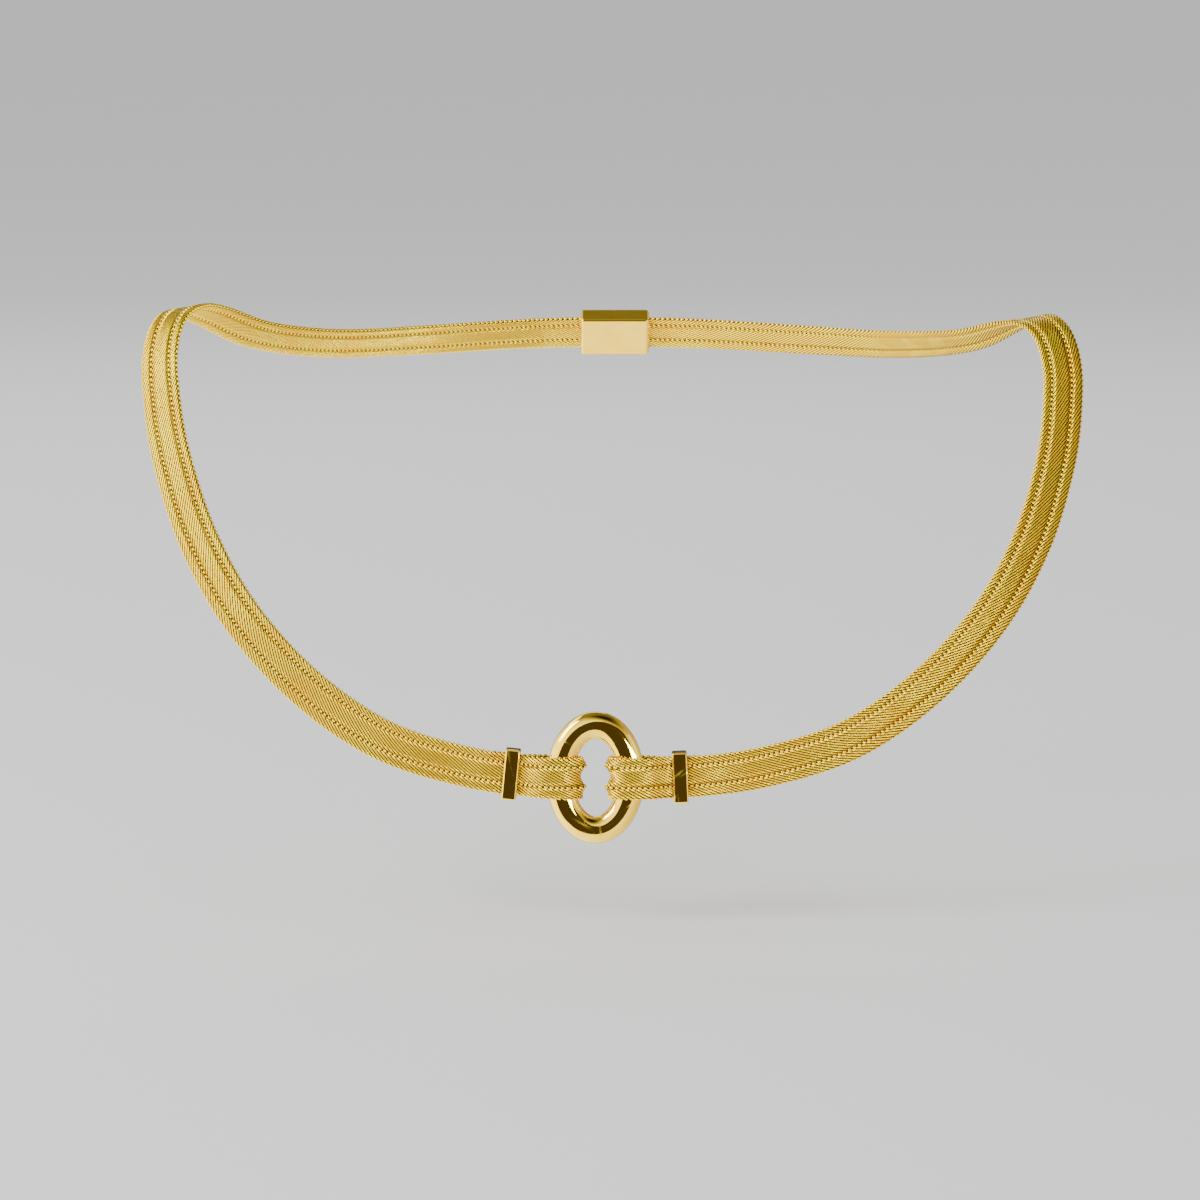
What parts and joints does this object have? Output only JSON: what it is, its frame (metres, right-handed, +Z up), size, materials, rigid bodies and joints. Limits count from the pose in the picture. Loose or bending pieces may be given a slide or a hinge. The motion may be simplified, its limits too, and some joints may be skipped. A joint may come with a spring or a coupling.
{
  "type": "collar choker necklace",
  "caption": "Flat woven metal band folded through an oval ring at the front, held by slim keepers, closing in a plain clasp at the nape.",
  "frame": {"origin": "on the axis of the neck, level with the crests of the shoulders that the band lies over", "axes": "+X to the viewer's right of the worn front, +Y toward the nape, +Z up"},
  "size_m": [0.1573, 0.0913, 0.0849],
  "materials": {
    "woven_gold": "woven wire with a soft shine",
    "polished_gold": "polished with fine scratches"
  },
  "bodies": {
    "root": {"ring": "polished_gold", "band_left": "woven_gold", "band_right": "woven_gold", "keeper_left": "polished_gold", "keeper_right": "polished_gold", "clasp": "polished_gold"}
  },
  "joints": []
}
